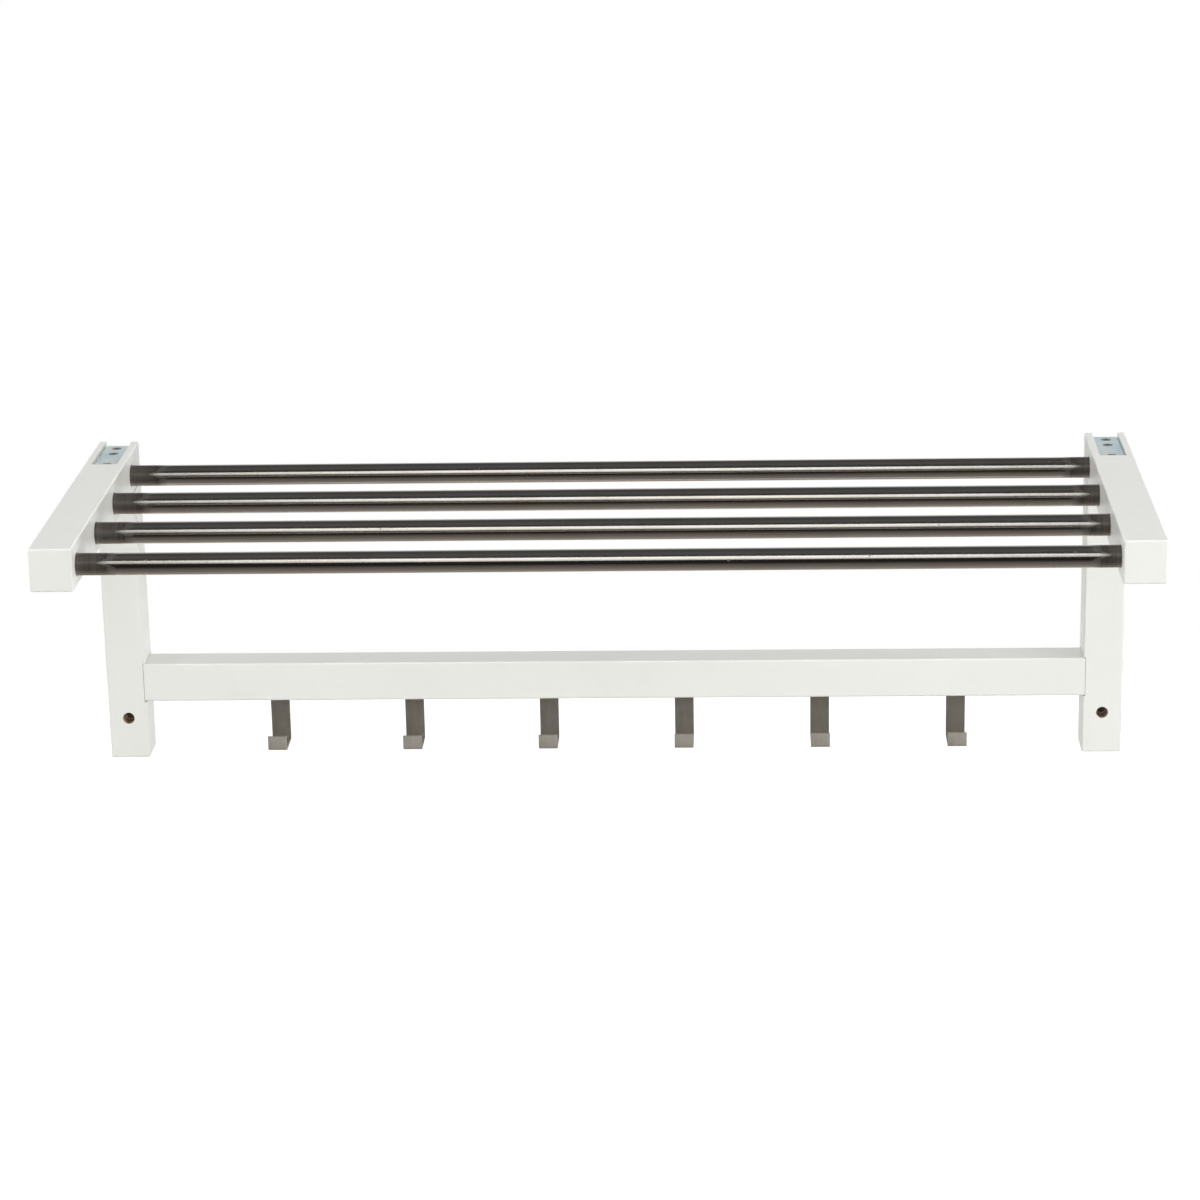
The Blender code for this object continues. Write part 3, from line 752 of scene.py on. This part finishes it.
def dowel_holes(name, nodes, material):
    """Cutters round the dowels, a little longer and wider than they are."""
    shapes = []
    for node in nodes:
        place, radius, run = dowel_facts(node)
        wide, foot = radius + CLEAR, -run - CLEAR
        shape = turned([(0, CLEAR), (wide, CLEAR), (wide, foot), (0, foot)], 24)
        shapes.append((shape, place))
    return gather(name, shapes, material)


# Pieces

def timber_finish(node, along):
    """The paint of a piece of timber, whose grain runs along an axis."""
    low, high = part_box(node)
    kind = node.split("_")[0]
    return finish(f"satin_paint_{kind}", satin_paint, low, high, along)


def wood_in_holes():
    return finish("bare_timber", bare_timber)


def build_arm(name, side):
    """An arm with its sockets, screw holes, dowel holes and bracket recess."""
    sizes = bpy.context.scene.rack_sizes
    node = f"arm_{name}"
    low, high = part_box(node)
    paint, wood = timber_finish(node, "Y"), wood_in_holes()
    arm = gather(node + "_work", [(block(low, high, sizes.eased_edge), IN_PLACE)], paint)
    inner = low.x if side > 0 else high.x
    sockets = []
    for number in TUBES:
        tube_low, tube_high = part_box(f"tube_{number}")
        radius = (tube_high.z - tube_low.z) / 2 + CLEAR
        depth = abs(tube_high.x) - abs(inner) + CLEAR
        mouth = middle(f"tube_{number}")
        mouth.x = inner
        sockets.append((hole(radius, depth, sizes.round_steps, SOCKET_MOUTH),
                        facing(inward(side), mouth)))
    carve(arm, [
        *bracket_recess(name, paint),
        gather(f"sockets_{name}", sockets, wood),
        screw_holes(f"tube_screw_holes_{name}",
                    [f"tube_screw_{name}_{number}" for number in TUBES], True, wood),
        screw_holes(f"bracket_screw_holes_{name}",
                    [f"bracket_screw_{name}_{number}" for number in (1, 2, 3)], False, wood),
        dowel_holes(f"dowel_holes_{name}", [f"arm_dowel_{name}_{n}" for n in (1, 2)], wood),
    ])
    return install(smoothed(arm, weighted=True), node)


def keyhole_cutter(name, margin, depth, back, material):
    """Cutters for a round entry and the slot above it, entered from the back along -Y."""
    sizes = bpy.context.scene.rack_sizes
    x = middle(f"corner_bracket_{name}").x
    entry = Vector((x, back, -sizes.keyhole_drop))
    seat = entry + Vector((0, 0, sizes.keyhole_rise))
    slot = sizes.keyhole_slot / 2 + margin
    bulb = hole(sizes.keyhole_entry / 2 + margin, depth, 48)
    end = hole(slot, depth, 48)
    way = block(Vector((x - slot, back - depth, entry.z)),
                Vector((x + slot, back + OVER, seat.z)))
    shapes = ((bulb, facing("+Y", entry)), (end, facing("+Y", seat)),
              (way, IN_PLACE))
    return [gather(f"keyhole_{part}_{name}", [shape], material)
            for part, shape in enumerate(shapes)]


def build_post(name, side):
    """A post with its housing for the rail, wall hole, keyhole pocket and recess."""
    sizes = bpy.context.scene.rack_sizes
    node = f"post_{name}"
    low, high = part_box(node)
    paint, wood = timber_finish(node, "Z"), wood_in_holes()

    def below_top(edge):
        return min(vert.co.z for vert in edge.verts) < high.z - WELD

    shape = block(low, high, sizes.eased_edge, below_top)
    post = gather(node + "_work", [(shape, IN_PLACE)], paint)
    centre = middle(node)
    front = Vector((centre.x, low.y, low.z + sizes.wall_hole_height))
    through = hole(sizes.wall_hole / 2, high.y - low.y + OVER, 48)
    bore = hole(sizes.counterbore / 2, sizes.counterbore_depth, 64, BORE_MOUTH)
    rail_low, rail_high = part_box("hook_rail")
    reach = rail_high.x + CLEAR
    near = abs(low.x if side > 0 else high.x) - OVER
    xs = sorted((side * near, side * reach))
    housing = block(Vector((xs[0], rail_low.y - OVER, rail_low.z - CLEAR)),
                    Vector((xs[1], rail_high.y + CLEAR, rail_high.z + CLEAR)))
    deep = bracket_box(name)[1].y - sizes.strip
    carve(post, [
        *bracket_recess(name, paint),
        *keyhole_cutter(name, KEYHOLE_MARGIN, KEYHOLE_POCKET, deep, wood),
        gather(f"rail_housing_{name}", [(housing, IN_PLACE)], wood),
        gather(f"wall_hole_{name}", [(through, facing("-Y", front))], wood),
        gather(f"counterbore_{name}", [(bore, facing("-Y", front))], wood),
        screw_holes(f"rear_screw_hole_{name}", [f"bracket_screw_{name}_rear"], False, wood),
        dowel_holes(f"post_dowel_holes_{name}", [
            f"arm_dowel_{name}_1", f"arm_dowel_{name}_2", f"rail_dowel_{name}"], wood),
    ])
    return install(smoothed(post, weighted=True), node)


def build_rail():
    """The rail, whose ends are let into the posts."""
    sizes = bpy.context.scene.rack_sizes
    low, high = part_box("hook_rail")
    paint = finish("satin_paint_rail", satin_paint, low, high, "X")
    wood = wood_in_holes()
    shape = block(low, high, sizes.eased_edge, lambda edge: runs_along(edge, 0))
    rail = gather("hook_rail_work", [(shape, IN_PLACE)], paint)
    hook_screws = [f"hook_screw_{n}_{level}" for n in HOOKS for level in ("lower", "upper")]
    carve(rail, [
        screw_holes("hook_screw_holes", hook_screws, False, wood),
        dowel_holes("rail_dowel_holes", ["rail_dowel_left", "rail_dowel_right"], wood),
    ])
    return install(smoothed(rail, weighted=True), "hook_rail")


def build_tube(number):
    """A drawn tube with its bore and its broken ends."""
    sizes = bpy.context.scene.rack_sizes
    node = f"tube_{number}"
    low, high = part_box(node)
    outer = (high.z - low.z) / 2
    inner = outer - sizes.tube_wall
    run = high.x - low.x
    chamfer = sizes.tube_wall / 4
    profile = [(outer - chamfer, 0), (outer, -chamfer), (outer, chamfer - run),
               (outer - chamfer, -run), (inner + chamfer, -run), (inner, chamfer - run),
               (inner, -chamfer), (inner + chamfer, 0)]
    end = middle(node)
    end.x = high.x
    arm_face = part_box("arm_right")[0].x
    steel = finish("polished_tube", polished_tube, arm_face, end.z + LINE_RISE * outer)
    tube = gather(node + "_work", [(turned(profile, sizes.round_steps, ring=True),
                                    facing("+X", end))], steel)
    return install(smoothed(tube), node)


def build_plug(name, side, number):
    """A ribbed plug, pressed into the end of a tube."""
    node = f"tube_plug_{name}_{number}"
    low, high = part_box(node)
    radius = (high.z - low.z) / 2
    run = high.x - low.x
    bore = screw_facts(f"tube_screw_{name}_{number}")[1] * SHANK_SHARE + CLEAR
    rib, valley, ribs = 0.0008, 0.00035, 6
    pitch = run / (ribs + 1)
    profile = [(bore, 0), (radius - rib, 0), (radius, -rib)]
    for count in range(1, ribs + 1):
        place = -count * pitch
        profile += [(radius, place + rib), (radius - valley, place + rib / 2),
                    (radius - valley, place - rib / 2), (radius, place - rib)]
    profile += [(radius, rib - run), (radius - rib, -run), (bore, -run)]
    end = middle(node)
    end.x = high.x if side > 0 else low.x
    plastic = finish("moulded_nylon", moulded_nylon)
    part = gather(node + "_work", [(turned(profile, 48, ring=True),
                                    facing(outward(side), end))], plastic)
    return install(smoothed(part), node)


def build_hook(number):
    """A hook of bent strip, with countersunk holes in its strap."""
    sizes = bpy.context.scene.rack_sizes
    node = f"hook_{number}"
    low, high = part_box(node)
    half = sizes.strip / 2
    corners = [(high.y - half, high.z), (high.y - half, low.z + half),
               (low.y + half, low.z + half), (low.y + half, low.z + sizes.lip)]
    steel = finish("brushed_strip", brushed_strip, low.y)
    hook = bent_strip(node + "_work", low.x, high.x, corners, sizes, steel)
    carve(hook, [screw_holes(f"hook_{number}_holes", [f"hook_screw_{number}_{level}"
                 for level in ("lower", "upper")], True, steel)])
    return install(smoothed(hook), node)


def build_bracket(name):
    """A plate bent over the back of an arm, with its screw holes and keyhole."""
    sizes = bpy.context.scene.rack_sizes
    node = f"corner_bracket_{name}"
    low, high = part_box(node)
    half = sizes.strip / 2
    corners = [(low.y, high.z - half), (high.y - half, high.z - half), (high.y - half, low.z)]
    plating = finish("plated_steel", plated_steel)
    bracket = bent_strip(node + "_work", low.x, high.x, corners, sizes, plating)
    carve(bracket, [
        screw_holes(f"top_holes_{name}", [f"bracket_screw_{name}_{n}" for n in (1, 2, 3)],
                    True, plating),
        screw_holes(f"rear_hole_{name}", [f"bracket_screw_{name}_rear"], True, plating),
        *keyhole_cutter(name, 0.0, sizes.strip + OVER, high.y, plating),
    ])
    return install(smoothed(bracket), node)


def build_dowel(node):
    """A fluted dowel with chamfered ends."""
    place, radius, run = dowel_facts(node)
    rings = [-DOWEL_CHAMFER - (run - 2 * DOWEL_CHAMFER) * share / 6 for share in range(7)]
    profile = [(0, 0), (radius - DOWEL_CHAMFER, 0)] + [(radius, z) for z in rings]
    profile += [(radius - DOWEL_CHAMFER, -run), (0, -run)]
    bm = bmesh.new()
    bm.from_mesh(turned(profile, 72))
    for vert in bm.verts:
        if math.hypot(vert.co.x, vert.co.y) > radius - WELD:
            flute = max(0.0, math.cos(FLUTES * math.atan2(vert.co.y, vert.co.x)))
            share = 1 - FLUTE_DEPTH * flute
            vert.co.x *= share
            vert.co.y *= share
    wood = finish("beech_wood", beech_wood)
    dowel = gather(node + "_work", [(mesh_from(bm, node), place)], wood)
    return install(smoothed(dowel), node)


def screw_body(head, run, pitch):
    """A countersunk wood screw that points down -Z, with a helical thread."""
    shank = SHANK_SHARE * head
    rim, tip = 0.0002, 1.6 * shank
    top = -rim - head + shank
    rings = int((run - tip + top) / pitch * THREAD_STEPS)
    shank_points = [(shank, top - count * pitch / THREAD_STEPS) for count in range(rings + 1)]
    profile = [(0, 0), (head - rim / 2, 0), (head, -rim / 2), (head, -rim)]
    profile += shank_points + [(shank * 0.55, tip * 0.45 - run), (0, -run)]
    bm = bmesh.new()
    bm.from_mesh(turned(profile, 36))
    start = top - 2 * pitch
    for vert in bm.verts:
        around = math.hypot(vert.co.x, vert.co.y)
        if vert.co.z < start and around > WELD:
            turn = math.atan2(vert.co.y, vert.co.x) / FULL_TURN
            wave = abs(2 * ((vert.co.z / pitch - turn) % 1) - 1)
            share = 1 - THREAD_DEPTH * (1 - wave ** 2)
            vert.co.x *= share
            vert.co.y *= share
    body = gather("screw_work", [(mesh_from(bm, "screw"), IN_PLACE)],
                  finish("screw_metal", screw_metal))
    return carve(body, recess_cutters(head))


def recess_cutters(head):
    """Two tapered slots that cross in the middle of a screw's head."""
    reach, slot, depth = 0.60 * head, 0.16 * head, 0.42 * head
    slots = []
    for number in range(2):
        bm = bmesh.new()
        bmesh.ops.create_cube(bm, size=2)
        bmesh.ops.scale(bm, vec=(reach, slot, depth), verts=bm.verts)
        foot = [vert for vert in bm.verts if vert.co.z < 0]
        bmesh.ops.scale(bm, vec=(0.45, 0.6, 1), verts=foot)
        turn = Matrix.Rotation(math.radians(45 + 90 * number), 4, "Z")
        slots.append(gather(f"recess_slot_{number}", [(mesh_from(bm, "slot"), turn)],
                            finish("screw_metal", screw_metal)))
    return slots


def build_screws(nodes):
    """All the screws of one size, each a copy of the same body."""
    sizes = bpy.context.scene.rack_sizes
    _, head, run = screw_facts(nodes[0])
    body = screw_body(head, run, sizes.thread_pitch)
    for node in nodes:
        screw = gather(node + "_work", [(body.data, screw_facts(node)[0])])
        screw.data.materials.append(finish("screw_metal", screw_metal))
        install(smoothed(screw), node)
    bpy.data.objects.remove(body, do_unlink=True)


# Studio

WHITE = (1.0, 1.0, 1.0)
WARM = (1.0, 0.90, 0.82)

# What the metal reflects, by the angle in degrees about the tubes: 0 is straight ahead,
# 90 straight up and 180 the wall behind.
SURROUNDINGS = (
    (-180, 0.90, WHITE), (-150, 0.82, WHITE), (-134, 0.50, WARM), (-106, 0.38, WARM),
    (-72, 0.235, WARM), (-45, 0.155, WARM), (-30, 0.07, WARM), (-20, 0.02, WARM),
    (0, 0.02, WHITE), (53, 0.04, WHITE), (66, 0.09, WHITE), (80, 0.12, WHITE),
    (105, 0.09, WHITE), (138, 0.075, WHITE), (156, 0.60, WHITE), (172, 0.88, WHITE),
    (180, 0.90, WHITE),
)

# The softbox: its size, the rounding of its corners by (across, up) and its glow upwards
SOFTBOX_SIZE = (1.22, 0.90)
SOFTBOX_CORNERS = ((-1, -1, 0.40), (-1, 1, 0.16), (1, -1, 0.16), (1, 1, 0.14))
SOFTBOX_GLOW = ((0.0, (0.30, 0.30, 0.29)), (0.15, (0.62, 0.61, 0.58)),
                (0.45, (0.80, 0.79, 0.76)), (0.72, WHITE), (1.0, WHITE))
SOFTBOX_PLACE = Vector((-0.03, -1.579, 0.722))
TUBES_MIDDLE = Vector((-0.03, -0.16, -0.017))

# The broad lights, by the setting that gives their power: place, width and height
LIGHTS = (
    ("low", (0.3, -3.0, -0.4), 2.4, 1.6),
    ("top", (0.1, -0.4, 2.4), 2.0, 2.0),
    ("right", (2.6, -1.6, 0.0), 1.6, 2.0),
    ("left", (-2.6, -1.6, 0.0), 1.6, 2.0),
)
RACK_MIDDLE = Vector((0, -0.15, -0.12))

# Lens and place of the camera; its turns are in radians
LENS = 107.4965
SENSOR = 36.0
CAMERA_PLACE = Vector((0.1057729, -2.7057488, 0.7021715))
CAMERA_YAW = -0.0426
CAMERA_PITCH = 0.2992
CAMERA_ROLL = -0.0199


def build_surroundings():
    """A studio that shows white to the camera and grey bands to the metal."""
    world = bpy.data.worlds.new("studio_surroundings")
    world.use_nodes = True
    bpy.context.scene.world = world
    tree = world.node_tree
    recipe = Recipe(tree)
    direction = recipe.add("ShaderNodeTexCoord", output="Generated")
    _, y, z = recipe.parts(direction)
    angle = z.math("ARCTAN2", z, y * -1)
    stops = [((degrees + 180) / 360, shaded(tint, level))
             for degrees, level, tint in SURROUNDINGS]
    bands = recipe.add("ShaderNodeValToRGB", {"stops": stops},
                       {"Fac": angle / FULL_TURN + 0.5}, "Color")
    seen = recipe.add("ShaderNodeLightPath", output="Is Camera Ray")
    plug(tree, tree.nodes["Background"].inputs["Color"], recipe.mixed(seen, bands, WHITE))


def aimed(obj, place, target):
    """Puts a light at a place, with its -Z towards a target."""
    turn = (target - place).to_track_quat("-Z", "Y")
    obj.matrix_world = Matrix.Translation(place) @ turn.to_matrix().to_4x4()
    return obj


def area_light(name, place, width, height, power):
    """A broad soft light that neither the camera nor the metal shows."""
    data = bpy.data.lights.new(name, "AREA")
    data.shape = "RECTANGLE"
    data.size = width
    data.size_y = height
    data.energy = power
    light = linked(name, data)
    light.visible_camera = False
    light.visible_glossy = False
    return aimed(light, Vector(place), RACK_MIDDLE)


def build_softbox(level):
    """The panel with rounded corners that the tubes show as a bright line. It lights
    no matt surface."""
    bm = bmesh.new()
    bmesh.ops.create_grid(bm, x_segments=1, y_segments=1, size=0.5)
    bmesh.ops.scale(bm, vec=(*SOFTBOX_SIZE, 1), verts=bm.verts)
    for across, up, rounding in SOFTBOX_CORNERS:
        corner = max(bm.verts, key=lambda vert: vert.co.x * across + vert.co.y * up)
        bmesh.ops.bevel(bm, geom=[corner], offset=rounding, segments=8, profile=0.5,
                        affect="VERTICES", material=-1)
    panel = linked("softbox", mesh_from(bm, "softbox"))
    panel.data.materials.append(finish("softbox_glow", softbox_glow, level))
    panel.visible_camera = False
    panel.visible_shadow = False
    panel.visible_diffuse = False
    aimed(panel, SOFTBOX_PLACE, TUBES_MIDDLE)
    return panel


def softbox_glow(recipe, level):
    """Light that is strongest near the panel's top, where its lamp is."""
    _, up, _ = recipe.parts(recipe.position())
    share = (up / SOFTBOX_SIZE[1] + 0.5).clamped()
    glow = recipe.add("ShaderNodeValToRGB", {"stops": SOFTBOX_GLOW}, {"Fac": share}, "Color")
    return {"Base Color": (0.0, 0.0, 0.0), "Roughness": 1.0, "Emission Color": glow,
            "Emission Strength": level}


def build_floor(drop):
    """A pale floor far below the rack, too far to light it."""
    bm = bmesh.new()
    bmesh.ops.create_grid(bm, x_segments=1, y_segments=1, size=6)
    bmesh.ops.translate(bm, vec=(0, 0, -drop), verts=bm.verts)
    floor = linked("studio_floor", mesh_from(bm, "studio_floor"))
    floor.data.materials.append(finish("studio_floor", pale_floor))
    floor.visible_diffuse = False
    floor.visible_glossy = False
    return floor


def pale_floor(recipe):
    """Even white vinyl that glows a little, so that it stays pale at any distance."""
    return {"Base Color": (0.9, 0.9, 0.9), "Roughness": 0.8,
            "Emission Color": WHITE, "Emission Strength": 1.0}


def build_camera():
    data = bpy.data.cameras.new("studio_camera")
    data.sensor_width = SENSOR
    data.lens = LENS
    camera = linked("studio_camera", data)
    turn = (Matrix.Rotation(-CAMERA_YAW, 4, "Z")
            @ Matrix.Rotation(math.pi / 2 - CAMERA_PITCH, 4, "X")
            @ Matrix.Rotation(CAMERA_ROLL, 4, "Z"))
    camera.matrix_world = Matrix.Translation(CAMERA_PLACE) @ turn
    bpy.context.scene.camera = camera
    return camera


# Operators

class RACK_OT_arms(bpy.types.Operator):
    """Make the two painted arms"""
    bl_idname = "hook_rack.make_arms"
    bl_label = "Arms"

    def execute(self, context):
        for name, side in SIDES:
            build_arm(name, side)
        return {"FINISHED"}


class RACK_OT_posts(bpy.types.Operator):
    """Make the two painted posts"""
    bl_idname = "hook_rack.make_posts"
    bl_label = "Posts"

    def execute(self, context):
        for name, side in SIDES:
            build_post(name, side)
        return {"FINISHED"}


class RACK_OT_rail(bpy.types.Operator):
    """Make the rail that carries the hooks"""
    bl_idname = "hook_rack.make_rail"
    bl_label = "Rail"

    def execute(self, context):
        build_rail()
        return {"FINISHED"}


class RACK_OT_tubes(bpy.types.Operator):
    """Make the four tubes of the shelf"""
    bl_idname = "hook_rack.make_tubes"
    bl_label = "Tubes"

    def execute(self, context):
        for number in TUBES:
            build_tube(number)
        return {"FINISHED"}


class RACK_OT_plugs(bpy.types.Operator):
    """Make the plugs in the tubes' ends"""
    bl_idname = "hook_rack.make_plugs"
    bl_label = "Tube plugs"

    def execute(self, context):
        for name, side in SIDES:
            for number in TUBES:
                build_plug(name, side, number)
        return {"FINISHED"}


class RACK_OT_hooks(bpy.types.Operator):
    """Make the six hooks"""
    bl_idname = "hook_rack.make_hooks"
    bl_label = "Hooks"

    def execute(self, context):
        for number in HOOKS:
            build_hook(number)
        return {"FINISHED"}


class RACK_OT_brackets(bpy.types.Operator):
    """Make the two corner brackets with their keyholes"""
    bl_idname = "hook_rack.make_brackets"
    bl_label = "Corner brackets"

    def execute(self, context):
        for name, _ in SIDES:
            build_bracket(name)
        return {"FINISHED"}


class RACK_OT_dowels(bpy.types.Operator):
    """Make the dowels that join the timber"""
    bl_idname = "hook_rack.make_dowels"
    bl_label = "Dowels"

    def execute(self, context):
        for name, _ in SIDES:
            for node in (f"arm_dowel_{name}_1", f"arm_dowel_{name}_2", f"rail_dowel_{name}"):
                build_dowel(node)
        return {"FINISHED"}


class RACK_OT_screws(bpy.types.Operator):
    """Make the screws of tubes, brackets and hooks"""
    bl_idname = "hook_rack.make_screws"
    bl_label = "Screws"

    def execute(self, context):
        nodes = sorted(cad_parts)
        for kind in ("tube_screw", "bracket_screw", "hook_screw"):
            build_screws([node for node in nodes if node.startswith(kind)])
        return {"FINISHED"}


class RACK_OT_stage(bpy.types.Operator):
    """Set up the floor, the light and the camera"""
    bl_idname = "hook_rack.make_stage"
    bl_label = "Studio"

    def execute(self, context):
        studio = context.scene.rack_studio
        context.scene.view_settings.view_transform = "Standard"
        build_surroundings()
        build_floor(studio.floor_drop)
        build_softbox(studio.softbox)
        for name, place, width, height in LIGHTS:
            area_light(name + "_light", place, width, height, getattr(studio, name))
        build_camera()
        return {"FINISHED"}


OPERATORS = (RACK_OT_arms, RACK_OT_posts, RACK_OT_rail, RACK_OT_tubes, RACK_OT_plugs,
             RACK_OT_hooks, RACK_OT_brackets, RACK_OT_dowels, RACK_OT_screws, RACK_OT_stage)


class RACK_PT_panel(bpy.types.Panel):
    """Lists the pieces of the rack and their settings"""
    bl_label = "Wall Hook Rack"
    bl_idname = "RACK_PT_panel"
    bl_space_type = "VIEW_3D"
    bl_region_type = "UI"
    bl_category = "Hook Rack"

    def draw(self, context):
        scene = context.scene
        for operator in OPERATORS:
            self.layout.operator(operator.bl_idname)
        for group in (scene.rack_sizes, scene.rack_finishes, scene.rack_studio):
            box = self.layout.box()
            for name in group.__annotations__:
                box.prop(group, name)


GROUPS = (RackSizes, RackFinishes, RackStudio)


def register():
    for kind in (*GROUPS, *OPERATORS, RACK_PT_panel):
        bpy.utils.register_class(kind)
    bpy.types.Scene.rack_sizes = PointerProperty(type=RackSizes)
    bpy.types.Scene.rack_finishes = PointerProperty(type=RackFinishes)
    bpy.types.Scene.rack_studio = PointerProperty(type=RackStudio)


def unregister():
    del bpy.types.Scene.rack_studio
    del bpy.types.Scene.rack_finishes
    del bpy.types.Scene.rack_sizes
    for kind in reversed((*GROUPS, *OPERATORS, RACK_PT_panel)):
        bpy.utils.unregister_class(kind)


def main():
    register()
    rack = bpy.ops.hook_rack
    rack.make_arms()
    rack.make_posts()
    rack.make_rail()
    rack.make_tubes()
    rack.make_plugs()
    rack.make_hooks()
    rack.make_brackets()
    rack.make_dowels()
    rack.make_screws()
    rack.make_stage()


if __name__ == "__main__":
    main()
